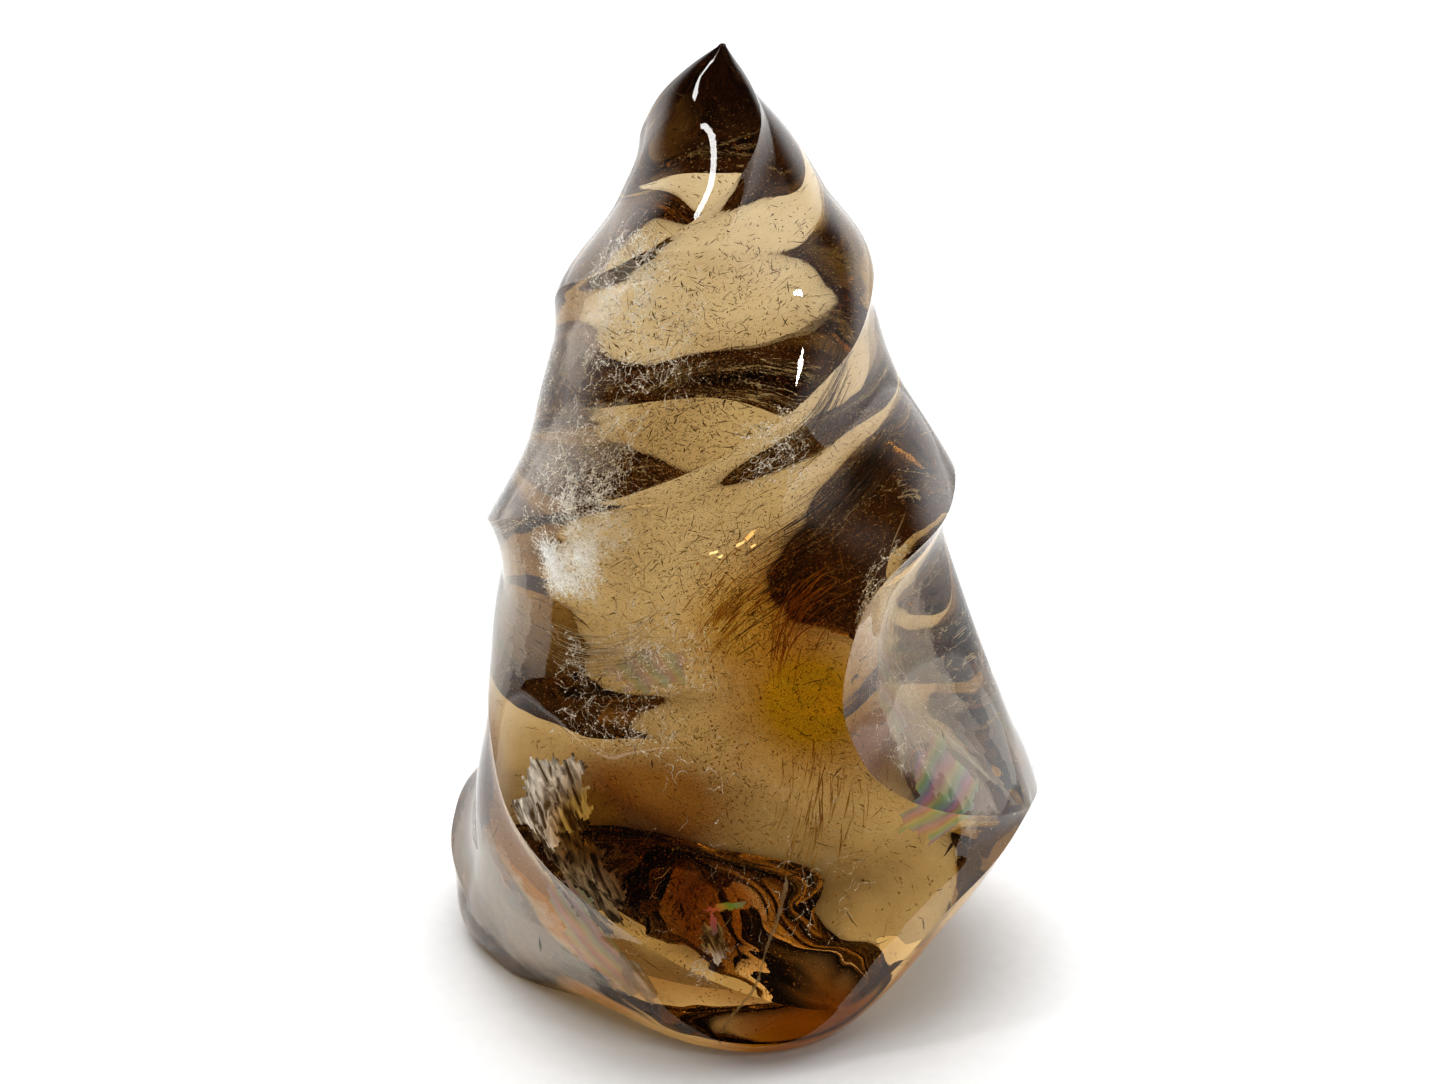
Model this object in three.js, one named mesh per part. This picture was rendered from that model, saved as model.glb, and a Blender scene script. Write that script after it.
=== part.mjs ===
// Smoky quartz flame: one polished stone, carved all round into a rising flame.
// Its surface is a tapering core with scooped hollows, and sharp wavy crests stand on it. A crest falls
// away on both sides in a hollow curve, so two neighbouring crests leave a concave flute between them.
// Millimetres, +Z up, front towards -Y, origin on the flat base straight below the tip.
import * as THREE from "three";

const HEIGHT = 150;

// The core from the base to the tip: [height, radius, sideways shift of its centre].
const CORE_SECTIONS = [
  [0, 31.8, -2.5],
  [4, 35.5, -2],
  [10, 39, -0.5],
  [20, 42.5, 2],
  [30, 44, 4],
  [40, 42.3, 4.2],
  [50, 39.5, 3.2],
  [60, 37, 2],
  [75, 33.5, 0.5],
  [90, 30, 0.5],
  [100, 27, 0],
  [113, 22.3, -0.6],
  [122, 18.2, 0.2],
  [130, 14.2, 0.2],
  [137, 10.3, -0.5],
  [143, 5.8, -1.2],
  [147, 2.6, -0.8],
  [HEIGHT, 0, 0],
];

// The core is flattened from front to back, more and more up to this height and evenly above it.
const FLATTENING = 0.11;
const FLAT_FROM_HEIGHT = 40;

// The base outline is an uneven oval that reaches out at the back, and that unevenness fades out up the body.
const BASE_OVAL = 0.037;
const BASE_LOBES = 0.14;
const BASE_LOBE_ANGLE = 20;
const BASE_BACK = 0.16;
const BASE_BACK_ANGLE = 205;
const BASE_FADE_HEIGHT = 22;
const BASE_FADE_POWER = 1.5;

// Scooped hollows: [angle, height, half length in degrees, half height, climb per degree, depth].
const HOLLOWS = [
  // The large scoop in front, and the one on the right inside the hook.
  [-22, 54, 60, 33, 0.1, 4],
  [58, 58, 36, 25, 0, 5],
  // Flutes across the upper front, above the hook and left of the tip.
  [5, 113, 70, 14, 0.18, 1.5],
  [62, 97, 48, 13, 0.1, 3],
  [-55, 130, 50, 11, 0.15, 0.8],
  // The upper back.
  [180, 92, 70, 20, 0, 3],
];

// Crest lines, downwards: [angle, height, radius from the core's centre].
// Angles are in degrees from the front, growing towards the right, and wind on past a full turn.
const CRESTS = [
  // From the tip across the front, round the back, and down the right into a hook.
  [
    [95, 149.6, 0.6],
    [88, 146, 4],
    [66, 143, 6.6],
    [34, 138.5, 10.6],
    [4, 132.6, 15],
    [-27, 125.5, 18.6],
    [-58, 118.5, 21.6],
    [-90, 111.5, 24.6],
    [-135, 91, 28.4],
    [-180, 77, 31.5],
    [-225, 79, 33],
    [-262, 84, 35.2],
    [-285, 82, 35.6],
    [-312, 79.8, 36.6],
    [-325, 75.5, 37],
    [-332, 68, 37.2],
    [-335.5, 60, 37.6],
    [-334, 53, 38.6],
    [-330, 47.5, 40],
    [-320, 42, 42],
    [-305, 37, 44.5],
    [-288, 32.5, 46.3],
    [-264, 28.5, 47.4],
  ],
  // From the tip round the back, across the middle of the front, and round the back once more.
  [
    [-95, 149.6, 0.5],
    [-92, 146, 4.6],
    [-95, 141, 9],
    [-112, 133.5, 13.4],
    [-150, 122, 17.4],
    [-200, 118.5, 20.4],
    [-240, 118, 21.6],
    [-270, 117, 22.8],
    [-290, 113.5, 23.8],
    [-310, 109, 25.2],
    [-325, 106, 26.2],
    [-340, 102.3, 27.6],
    [-356, 98.3, 29],
    [-381, 92.3, 31],
    [-405, 86.5, 33],
    [-424, 82, 35],
    [-446, 76.5, 37],
    [-480, 69, 38],
    [-520, 58, 34.8],
    [-560, 45, 37.8],
    [-600, 36, 43.5],
    [-624, 28.5, 47.4],
  ],
  // The lip of the large front scoop, from the left side along the bottom and up to the right.
  [
    [-480, 69, 38],
    [-450, 56, 39],
    [-432, 46.5, 42],
    [-418, 38.5, 44.5],
    [-403, 33, 45.6],
    [-387, 28, 45.6],
    [-373, 22.5, 44.8],
    [-360, 17.5, 43.4],
    [-346, 12.5, 41.6],
    [-335, 9.3, 40.2],
    [-325, 9.2, 39.6],
    [-318, 14, 40.8],
    [-311, 22, 43],
    [-300, 28, 45.2],
    [-288, 32.5, 46.3],
  ],
  // The low heel round the left and back of the foot.
  [
    [-432, 6, 36],
    [-446, 11.5, 43],
    [-462, 16, 47.5],
    [-480, 20, 49.4],
    [-510, 22, 44.5],
    [-545, 23, 41.5],
    [-575, 25, 41.5],
    [-600, 28, 44],
    [-624, 28.5, 47.4],
  ],
];

// A crest's hollow flank runs this far out, or less where the core is slim.
const FLANK_REACH = 14;
const SLIM_FLANK = 2.5;
const SLIM_FLANK_PER_RADIUS = 0.6;
const FLANK_POWER = 2;
const CREST_BLEND = 6;
const LEAST_RADIUS = 3;

// Facets: columns round the stone, and rows that crowd together towards the tip.
const COLUMNS = 72;
const ROWS = 60;
const ROW_CROWDING = 1.25;
const CORE_STEPS = 24;
const CREST_STEPS = 12;

const TURN = 2 * Math.PI;
const radians = THREE.MathUtils.degToRad;

// Points along a smooth curve through the given triples, with a fixed number of steps per span.
function smoothLine(triples, steps) {
  const points = triples.map((triple) => new THREE.Vector3(...triple));
  const curve = new THREE.CatmullRomCurve3(points, false, "catmullrom", 0.5);
  return curve.getPoints(steps * (points.length - 1));
}

const coreLine = smoothLine(CORE_SECTIONS, CORE_STEPS);
const crestLines = CRESTS.map((crest) =>
  smoothLine(crest, CREST_STEPS).map(({ x, y, z }) => ({ angle: radians(x), height: y, radius: z })),
);

// The core's round radius and centre shift at a height.
function coreAt(height) {
  const above = coreLine.findIndex((point) => point.x >= height);
  const high = coreLine[Math.max(above, 1)];
  const low = coreLine[Math.max(above, 1) - 1];
  const share = (height - low.x) / (high.x - low.x);
  return {
    radius: THREE.MathUtils.lerp(low.y, high.y, share),
    shift: THREE.MathUtils.lerp(low.z, high.z, share),
  };
}

// An angle's difference from another, from minus half a turn to half a turn.
function angleBetween(angle, other) {
  return THREE.MathUtils.euclideanModulo(angle - other + TURN / 2, TURN) - TURN / 2;
}

// How deep the scooped hollows are at a place.
function hollowDepth(angle, height) {
  const depths = HOLLOWS.map(([middle, level, halfLength, halfHeight, climb, depth]) => {
    const turned = THREE.MathUtils.radToDeg(angleBetween(angle, radians(middle)));
    const across = turned / halfLength;
    const up = (height - level - climb * turned) / halfHeight;
    return depth * Math.max(0, 1 - across ** 2 - up ** 2) ** 2;
  });
  return depths.reduce((sum, depth) => sum + depth, 0);
}

// The core's radius in one direction, flattened and hollowed, with the uneven base outline.
function coreRadius(angle, height) {
  const fade = Math.max(0, 1 - height / BASE_FADE_HEIGHT) ** BASE_FADE_POWER;
  const oval = BASE_OVAL * Math.cos(2 * (angle - TURN / 4));
  const lobes = BASE_LOBES * Math.cos(3 * (angle - radians(BASE_LOBE_ANGLE)));
  const back = BASE_BACK * Math.max(0, Math.cos(angle - radians(BASE_BACK_ANGLE)));
  const flat = FLATTENING * THREE.MathUtils.smoothstep(height, 0, FLAT_FROM_HEIGHT) * Math.cos(angle) ** 2;
  const round = coreAt(height).radius * (1 + fade * (oval + lobes + back));
  return round * (1 - flat) - hollowDepth(angle, height);
}

// The nearest place on a crest line: how far it is over the surface, and the crest's radius there.
function nearestOnCrest(line, angle, height, radius) {
  let nearest = { distance: Infinity, radius: 0 };
  for (let i = 0; i + 1 < line.length; i++) {
    const [from, to] = [line[i], line[i + 1]];
    const across = angleBetween(angle, from.angle) * radius;
    const up = height - from.height;
    const runAcross = (to.angle - from.angle) * radius;
    const runUp = to.height - from.height;
    const along = (across * runAcross + up * runUp) / (runAcross ** 2 + runUp ** 2);
    const share = THREE.MathUtils.clamp(along, 0, 1);
    const distance = Math.hypot(across - share * runAcross, up - share * runUp);
    if (distance < nearest.distance) {
      nearest = { distance, radius: THREE.MathUtils.lerp(from.radius, to.radius, share) };
    }
  }
  return nearest;
}

// The stone's radius: the core, and on it the blended rise of the crests nearby.
function flameRadius(angle, height) {
  const core = coreRadius(angle, height);
  const reach = Math.min(FLANK_REACH, SLIM_FLANK + SLIM_FLANK_PER_RADIUS * core);
  const rises = crestLines.map((line) => {
    const crest = nearestOnCrest(line, angle, height, Math.max(core, LEAST_RADIUS));
    const flank = Math.max(0, 1 - crest.distance / reach) ** FLANK_POWER;
    return Math.max(0, crest.radius - core) * flank;
  });
  const blended = rises.reduce((sum, rise) => sum + rise ** CREST_BLEND, 0) ** (1 / CREST_BLEND);
  return core + blended;
}

const rowHeight = (row) => HEIGHT * (1 - (1 - row / ROWS) ** ROW_CROWDING);
const rowAt = (height) => ROWS * (1 - (1 - height / HEIGHT) ** (1 / ROW_CROWDING));

// A grid of (column, row) places whose nearest corners are drawn onto the crest lines,
// so that every crest runs along edges of the facets and stays sharp.
function snappedGrid() {
  const grid = [];
  for (let row = 0; row < ROWS; row++) {
    for (let column = 0; column < COLUMNS; column++) {
      grid.push({ column, row, miss: Infinity });
    }
  }
  const snap = (column, row, toColumn, toRow) => {
    if (row < 1 || row >= ROWS) return;
    const place = grid[row * COLUMNS + THREE.MathUtils.euclideanModulo(column, COLUMNS)];
    const miss = Math.abs(toColumn - column) + Math.abs(toRow - row);
    if (miss < place.miss) Object.assign(place, { column: toColumn, row: toRow, miss });
  };
  for (const line of crestLines) {
    const steps = line.map((point) => [(point.angle / TURN) * COLUMNS, rowAt(point.height)]);
    for (let i = 0; i + 1 < steps.length; i++) {
      const [[columnA, rowA], [columnB, rowB]] = [steps[i], steps[i + 1]];
      const crossed = (a, b) => {
        const first = Math.ceil(Math.min(a, b));
        const count = Math.max(0, Math.floor(Math.max(a, b)) - first + 1);
        return a === b ? [] : Array.from({ length: count }, (_, k) => first + k);
      };
      for (const column of crossed(columnA, columnB)) {
        const row = rowA + ((rowB - rowA) * (column - columnA)) / (columnB - columnA);
        snap(column, Math.round(row), column, row);
      }
      for (const row of crossed(rowA, rowB)) {
        const column = columnA + ((columnB - columnA) * (row - rowA)) / (rowB - rowA);
        snap(Math.round(column), row, column, row);
      }
    }
  }
  return grid;
}

function surfacePoint(angle, height, radius) {
  return [coreAt(height).shift + radius * Math.sin(angle), -radius * Math.cos(angle), height];
}

// The closed surface: the grid round the side, the tip above it and the flat base below.
function flameGeometry() {
  const places = snappedGrid().map(({ column, row, miss }) => {
    const angle = (column / COLUMNS) * TURN;
    const height = rowHeight(row);
    return { angle, height, radius: flameRadius(angle, height), onCrest: miss < Infinity };
  });
  const points = places.map(({ angle, height, radius }) => surfacePoint(angle, height, radius));
  const tip = points.push([0, 0, HEIGHT]) - 1;
  const foot = points.push([0, 0, 0]) - 1;

  // How badly a facet edge from one place to another would miss the true surface half way.
  const missOf = (a, b) => {
    const [from, to] = [places[a], places[b]];
    if (from.onCrest && to.onCrest) return 0;
    const angle = from.angle + angleBetween(to.angle, from.angle) / 2;
    const height = (from.height + to.height) / 2;
    return Math.abs(flameRadius(angle, height) - (from.radius + to.radius) / 2);
  };

  const faces = [];
  for (let column = 0; column < COLUMNS; column++) {
    const next = (column + 1) % COLUMNS;
    for (let row = 0; row + 1 < ROWS; row++) {
      const [a, b] = [row * COLUMNS + column, row * COLUMNS + next];
      const [c, d] = [b + COLUMNS, a + COLUMNS];
      if (missOf(a, c) <= missOf(b, d)) faces.push([a, b, c], [a, c, d]);
      else faces.push([a, b, d], [b, c, d]);
    }
    const top = (ROWS - 1) * COLUMNS;
    faces.push([top + column, top + next, tip], [next, column, foot]);
  }

  const geometry = new THREE.BufferGeometry();
  geometry.setAttribute("position", new THREE.Float32BufferAttribute(points.flat(), 3));
  geometry.setIndex(faces.flat());
  geometry.computeVertexNormals();
  return geometry;
}

// Polished smoky quartz: clear, with a warm grey-brown smoke.
const smokyQuartz = new THREE.MeshStandardMaterial({
  color: 0xa98c60,
  roughness: 0.05,
  metalness: 0,
  transparent: true,
  opacity: 0.55,
});

const flame = new THREE.Mesh(flameGeometry(), smokyQuartz);
flame.name = "flame";

const stone = new THREE.Group();
stone.add(flame);

export default stone;
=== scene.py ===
"""Looks of the smoky quartz flame: the polished see-through stone, what shows inside it, and a white studio.

Lengths that describe the stone are in millimetres, those of the studio in metres.
Angles go round the stone from the front, growing to the right.
"""

import math

import bpy
import numpy as np
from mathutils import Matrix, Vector


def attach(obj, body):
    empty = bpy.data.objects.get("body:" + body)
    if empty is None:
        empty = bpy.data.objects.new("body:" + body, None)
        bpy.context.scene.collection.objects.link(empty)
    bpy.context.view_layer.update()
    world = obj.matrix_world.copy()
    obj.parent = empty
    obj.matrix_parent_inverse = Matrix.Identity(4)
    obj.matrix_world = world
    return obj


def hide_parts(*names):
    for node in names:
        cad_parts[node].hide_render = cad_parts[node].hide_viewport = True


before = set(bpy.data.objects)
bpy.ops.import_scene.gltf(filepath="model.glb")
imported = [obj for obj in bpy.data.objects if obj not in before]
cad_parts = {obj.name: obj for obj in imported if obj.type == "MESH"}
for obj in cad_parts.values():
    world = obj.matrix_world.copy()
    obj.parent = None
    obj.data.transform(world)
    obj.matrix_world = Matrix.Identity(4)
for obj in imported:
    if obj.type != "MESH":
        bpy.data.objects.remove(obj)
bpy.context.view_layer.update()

MM = 0.001
HEIGHT = 150.0
TURN = 2 * math.pi

# The core from the base to the tip: (height, radius, sideways shift of its centre).
CORE_SECTIONS = [
    (0, 31.8, -2.5),
    (4, 35.5, -2),
    (10, 39, -0.5),
    (20, 42.5, 2),
    (30, 44, 4),
    (40, 42.3, 4.2),
    (50, 39.5, 3.2),
    (60, 37, 2),
    (75, 33.5, 0.5),
    (90, 30, 0.5),
    (100, 27, 0),
    (113, 22.3, -0.6),
    (122, 18.2, 0.2),
    (130, 14.2, 0.2),
    (137, 10.3, -0.5),
    (143, 5.8, -1.2),
    (147, 2.6, -0.8),
    (HEIGHT, 0, 0),
]

# The core is flattened from front to back, more and more up to this height and evenly above it.
FLATTENING = 0.11
FLAT_FROM_HEIGHT = 40

# The base outline is an uneven oval that reaches out at the back, and that unevenness fades out up the body.
BASE_OVAL = 0.037
BASE_LOBES = 0.14
BASE_LOBE_ANGLE = 20
BASE_BACK = 0.16
BASE_BACK_ANGLE = 205
BASE_FADE_HEIGHT = 22
BASE_FADE_POWER = 1.5

# Scooped hollows: (angle, height, half length in degrees, half height, climb per degree, depth).
HOLLOWS = [
    # The large scoop in front, and the one on the right inside the hook.
    (-22, 54, 60, 33, 0.1, 4),
    (58, 58, 36, 25, 0, 5),
    # Flutes across the upper front, above the hook and left of the tip.
    (5, 113, 70, 14, 0.18, 1.5),
    (62, 97, 48, 13, 0.1, 3),
    (-55, 130, 50, 11, 0.15, 0.8),
    # The upper back.
    (180, 92, 70, 20, 0, 3),
]

# Crest lines, downwards: (angle in degrees, height, radius from the core's centre).
CRESTS = [
    # From the tip across the front, round the back, and down the right into a hook.
    [
        (95, 149.6, 0.6),
        (88, 146, 4),
        (66, 143, 6.6),
        (34, 138.5, 10.6),
        (4, 132.6, 15),
        (-27, 125.5, 18.6),
        (-58, 118.5, 21.6),
        (-90, 111.5, 24.6),
        (-135, 91, 28.4),
        (-180, 77, 31.5),
        (-225, 79, 33),
        (-262, 84, 35.2),
        (-285, 82, 35.6),
        (-312, 79.8, 36.6),
        (-325, 75.5, 37),
        (-332, 68, 37.2),
        (-335.5, 60, 37.6),
        (-334, 53, 38.6),
        (-330, 47.5, 40),
        (-320, 42, 42),
        (-305, 37, 44.5),
        (-288, 32.5, 46.3),
        (-264, 28.5, 47.4),
    ],
    # From the tip round the back, across the middle of the front, and round the back once more.
    [
        (-95, 149.6, 0.5),
        (-92, 146, 4.6),
        (-95, 141, 9),
        (-112, 133.5, 13.4),
        (-150, 122, 17.4),
        (-200, 118.5, 20.4),
        (-240, 118, 21.6),
        (-270, 117, 22.8),
        (-290, 113.5, 23.8),
        (-310, 109, 25.2),
        (-325, 106, 26.2),
        (-340, 102.3, 27.6),
        (-356, 98.3, 29),
        (-381, 92.3, 31),
        (-405, 86.5, 33),
        (-424, 82, 35),
        (-446, 76.5, 37),
        (-480, 69, 38),
        (-520, 58, 34.8),
        (-560, 45, 37.8),
        (-600, 36, 43.5),
        (-624, 28.5, 47.4),
    ],
    # The lip of the large front scoop, from the left side along the bottom and up to the right.
    [
        (-480, 69, 38),
        (-450, 56, 39),
        (-432, 46.5, 42),
        (-418, 38.5, 44.5),
        (-403, 33, 45.6),
        (-387, 28, 45.6),
        (-373, 22.5, 44.8),
        (-360, 17.5, 43.4),
        (-346, 12.5, 41.6),
        (-335, 9.3, 40.2),
        (-325, 9.2, 39.6),
        (-318, 14, 40.8),
        (-311, 22, 43),
        (-300, 28, 45.2),
        (-288, 32.5, 46.3),
    ],
    # The low heel round the left and back of the foot.
    [
        (-432, 6, 36),
        (-446, 11.5, 43),
        (-462, 16, 47.5),
        (-480, 20, 49.4),
        (-510, 22, 44.5),
        (-545, 23, 41.5),
        (-575, 25, 41.5),
        (-600, 28, 44),
        (-624, 28.5, 47.4),
    ],
]

# A crest's hollow flank runs this far out, or less where the core is slim.
FLANK_REACH = 14
SLIM_FLANK = 2.5
SLIM_FLANK_PER_RADIUS = 0.6
FLANK_POWER = 2
CREST_BLEND = 6
LEAST_RADIUS = 3

# The fine mesh: columns round the stone, and rows that crowd together towards the tip.
COLUMNS = 288
ROWS = 300
ROW_CROWDING = 1.25
CORE_STEPS = 24
CREST_STEPS = 12
POINTS_AT_ONCE = 4000

# The studio is a white room. Broad glows change its brightness towards some sides, the first one down to
# almost black above and behind the camera: (direction, cosines of the angles from it at which the glow
# begins and is full, brightness added).
ROOM_BRIGHTNESS = 1.6
GLOWS = [
    ((0, -0.5, 0.87), -0.1, 0.4, -1.57),
    ((0.8, -0.55, 0.15), 0.75, 0.97, 0.8),
]

# Lit soft boxes: (direction, distance, width, height, brightness, whether the polish mirrors it).
SOFT_BOXES = {
    "key_light": ((0, 0.1, 1), 2.4, 2.4, 2.4, 3, False),
    "tip_light": ((-0.5, -0.25, 0.82), 0.8, 0.07, 0.24, 13, True),
    "nose_light": ((0.44, -0.55, 0.71), 0.8, 0.06, 0.035, 50, True),
}
LIGHT_AIM = (0, 0, 0.1)

# The paper floor lies just below the base. Between two distances from the stone it begins to glow.
FLOOR_HALF = 30
FLOOR_DROP = 0.0001
PAPER_FADE = (0.9, 2.4)
PAPER_GLOW = 1.2

# The dark card widens from its near edge in front of the stone to its far one: (y, half width).
CARD_NEAR = (-0.036, 0.8)
CARD_FAR = (-30, 16)
CARD_LIFT = 0.001

# The camera, fitted to the photo. The lens and sensor are in millimetres.
CAMERA_PLACE = (0, -0.372, 0.232)
CAMERA_AIM = (0, 0, 0.0715)
CAMERA_LENS = 64.5
CAMERA_SENSOR = 36
CAMERA_NEAREST = 0.01

# How often light may pass or bounce, and how bright the picture comes out.
MOST_BOUNCES = 18
MOST_MIRRORINGS = 12
EXPOSURE = 0.15

# The brown smoke: how much red, green and blue light is lost on each metre, and the absorption's density.
SMOKE_LOSS = (10, 14, 24)
SMOKE_DENSITY = 46
QUARTZ_IOR = 1.544

# Stains that tint the stone: (place, how far it is at its strongest, where it ends, colour). The first,
# second and fourth are amber stains. The others are painted shade, which darkens the stone at the front of
# its base, low in front, low at the back and at its tip.
STAINS_AND_PAINTED_SHADE = [
    ((13, -31, 60), 6, 19, (0.6, 0.36, 0.002)),
    ((12, -27, 76), 3, 13, (0.65, 0.36, 0.004)),
    ((12, -34, 3), 8, 22, (0.3, 0.12, 0.001)),
    ((4, -30, 71), 4, 14, (0.75, 0.5, 0.08)),
    ((-20, -31, 39), 4, 12, (0.4, 0.2, 0.02)),
    ((-10, -36, 34), 4, 12, (0.3, 0.13, 0.01)),
    ((-1, -39, 28), 5, 12, (0.16, 0.07, 0.01)),
    ((-5, 42, 6), 8, 20, (0.25, 0.11, 0.02)),
    ((0, 0, 147), 6, 18, (0.1, 0.06, 0.04)),
]

# What grew or cracked inside the stone lies at least this far below its surface.
SKIN = 0.8
rng = np.random.default_rng(24)

# Clouds are patchy: the width of the patches, how many waves make them and how soft their edges are.
PATCH_SIZE = 9
PATCH_WAVES = 5
PATCH_BLUR = 0.6

# Clouds of fine dark needles: (angle, height, depth, spread, count).
# Sizes, here and below, are limits or else (logarithm of the middle size, unevenness, least, most).
NEEDLE_CLOUDS = [
    (12, 117, 14, 12, 2600),
    (-30, 104, 12, 10, 2200),
    (35, 88, 18, 14, 1100),
    (-40, 84, 14, 12, 700),
    (15, 73, 7, 6, 900),
    (-10, 62, 22, 18, 1000),
    (20, 34, 24, 18, 700),
    (-45, 36, 18, 14, 1000),
    (180, 100, 14, 14, 1800),
    (180, 50, 22, 20, 2600),
]
NEEDLE_LENGTHS = (-0.25, 0.7, 0.25, 4)
NEEDLE_WIDTHS = (0.07, 0.18)

# Golden hair needles, in the same form.
HAIR_CLOUDS = [
    (18, 76, 10, 7, 200),
    (-5, 64, 10, 9, 260),
    (10, 30, 14, 11, 160),
    (-35, 66, 9, 8, 160),
    (150, 60, 18, 14, 160),
]
HAIR_LENGTHS = (2, 7)
HAIR_WIDTHS = (0.06, 0.12)

# Amber specks, in the same form.
AMBER_CLOUDS = [
    (16, 70, 9, 7, 1600),
    (-25, 40, 12, 8, 1200),
    (5, 16, 10, 9, 1200),
]
AMBER_SIZES = (0.15, 0.6)

# Fine haze through the whole stone, in the same form.
HAZE_CLOUDS = [
    (0, 132, 10, 6, 1000),
    (0, 112, 18, 12, 8000),
    (-30, 84, 18, 14, 22000),
    (25, 84, 18, 13, 14000),
    (-10, 60, 16, 17, 18000),
    (20, 36, 16, 16, 10000),
    (52, 52, 5, 8, 18000),
    (-45, 30, 16, 12, 10000),
    (180, 80, 20, 18, 22000),
    (180, 40, 24, 20, 26000),
]
HAZE_SIZES = (-1.9, 0.4, 0.06, 0.45)
HAZE_BREADTH = 1.5

# White veils, each a wavy sheet of wandering lines: angles, heights and depths from end to end, and a count.
VEILS = [
    ((-57, -44), (72, 80), (0.8, 4), 850),
    ((-50, -36), (79, 90), (1.5, 5), 420),
    ((-66, -32), (82, 98), (2, 7), 320),
    ((-62, -38), (111, 124), (1.5, 5), 300),
    ((-45, -8), (103, 120), (2, 7), 120),
    ((-62, -16), (102, 110), (3, 7), 150),
    ((8, 30), (91, 100), (3, 6), 150),
    ((34, 66), (44, 76), (2, 7), 260),
    ((-35, 22), (58, 72), (3, 9), 220),
    ((-54, -22), (48, 66), (1.5, 5), 300),
    ((-25, 35), (20, 52), (4, 12), 120),
    ((-9, -4), (19, 25), (2, 4), 30),
    ((-140, -100), (60, 100), (3, 9), 260),
    ((150, 215), (56, 84), (3, 10), 260),
    ((95, 150), (24, 48), (4, 10), 220),
]
# A veil's lines: their steps, the bend at each step in radians, scatter and width. Then the frost on them.
VEIL_STEPS = 16
VEIL_STEP = 0.2
VEIL_BEND = 0.35
VEIL_SCATTER = 0.05
VEIL_WIDTHS = (-3.0, 0.4, 0.03, 0.12)
FROST_SHARE = 0.4
FROST_SIZES = (-1.6, 0.5, 0.08, 0.6)

# Bundles of fine curved fibres: a path of (angle, height, depth), spread and count.
DARK_FIBRES = [
    ([(84, 92, 5), (62, 90, 4), (42, 87, 4), (24, 83, 4), (4, 78, 5)], 1.7, 220),
    ([(42, 83, 4), (28, 79, 4), (14, 74, 5), (-3, 68, 6)], 2.8, 60),
    ([(62, 112, 4), (48, 104, 4), (34, 98, 5), (14, 94, 6)], 2, 90),
]
GOLD_FIBRES = [
    ([(36, 78, 4), (25, 75, 4), (18, 70, 4), (13, 59, 5)], 2.4, 100),
    ([(14, 77, 4), (2, 72, 5), (-12, 64, 6)], 3, 130),
    ([(22, 52, 6), (20, 42, 8), (12, 30, 10)], 4, 80),
]
PALE_FIBRES = [
    ([(-20, 70, 4), (-34, 64, 4), (-52, 62, 4), (-66, 64, 3)], 2, 90),
    ([(60, 74, 3), (52, 62, 4), (54, 48, 4)], 2.4, 90),
]
# A fibre's share of its path, its width, and how much of that is left at its ends.
FIBRE_STEPS = 9
FIBRE_PATH_SHARES = (0.15, 0.4)
FIBRE_WIDTHS = (0.06, 0.2)
RIBBON_END = 0.15

# Short dark slits close under the surface: (angle, height, length).
SLITS = [
    (-49, 14.2, 4.2),
    (-28, 51.5, 1.6),
    (-26, 47.6, 2),
    (-69, 73.5, 1.4),
    (-60, 68, 1.8),
    (9, 33.5, 2.4),
    (58, 47, 2.2),
    (47, 33.5, 5),
    (51, 32, 4),
    (-41, 88, 1.5),
    (140, 70, 2.5),
    (205, 40, 3),
]
SLIT_DEPTH = 1.2
SLIT_WIDTH_PER_LENGTH = 0.16

# Creased cracks: (angle, height, steepness, half length, half width, depth, slopes, depth of the creases).
# The glints and films are alike in the last two.
SILVER_CRACKS = [
    (-50, 39, -60, 8, 5.5, 3.5, (0.5, 1.5), 0.32),
    (-6, 23, -52, 4.5, 1.8, 4, (0.5, 1), 0.32),
]
BRONZE_CRACKS = [
    (-46, 34, -52, 11, 4, 5, (0.5, 2), 0.32),
    (-35, 29, -48, 9, 4.5, 4, (1, 1.5), 0.32),
]
# Gold glints: tiny flakes whose glow is a painted glint.
GOLD_GLINTS = [
    (-4, 81, 10, 1.1, 0.25, 3),
    (-1.5, 80.4, 30, 0.7, 0.25, 3),
    (5, 82.4, 20, 1.3, 0.3, 3),
    (8, 83.6, 40, 1.4, 0.35, 3),
    (9, 82, 25, 0.7, 0.25, 3),
]
GOLD_CRACKS = [(*glint, (0.2, 0.4), 0.1) for glint in GOLD_GLINTS]
GREY_CRACKS = [
    (-20, 15, -60, 8, 3, 2.5, (0.5, 1), 0.35),
    (64, 40, -64, 10, 1.6, 3, (0.5, 1), 0.35),
]
RAINBOW_CRACKS = [
    (48, 41, 25, 10, 6, 3.5, (0.5, 1.5), 0.15),
]
# Spark flakes, whose glow is a painted glint of rainbow and white.
SPARK_CRACKS = [
    (-5, 28.4, 6, 4, 0.5, 3, (0.3, 0.5), 0.1),
    (-7, 26, -70, 2.4, 0.6, 3, (0.3, 0.5), 0.1),
]
PASTEL_CRACKS = [
    (-33, 20, -48, 15, 5.5, 2.5, (0.5, 1), 0.3),
    (-28, 61, 12, 9, 4, 5, (0.5, 1), 0.2),
    (46, 56, 75, 10, 4, 4, (0.5, 1), 0.2),
]
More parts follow.
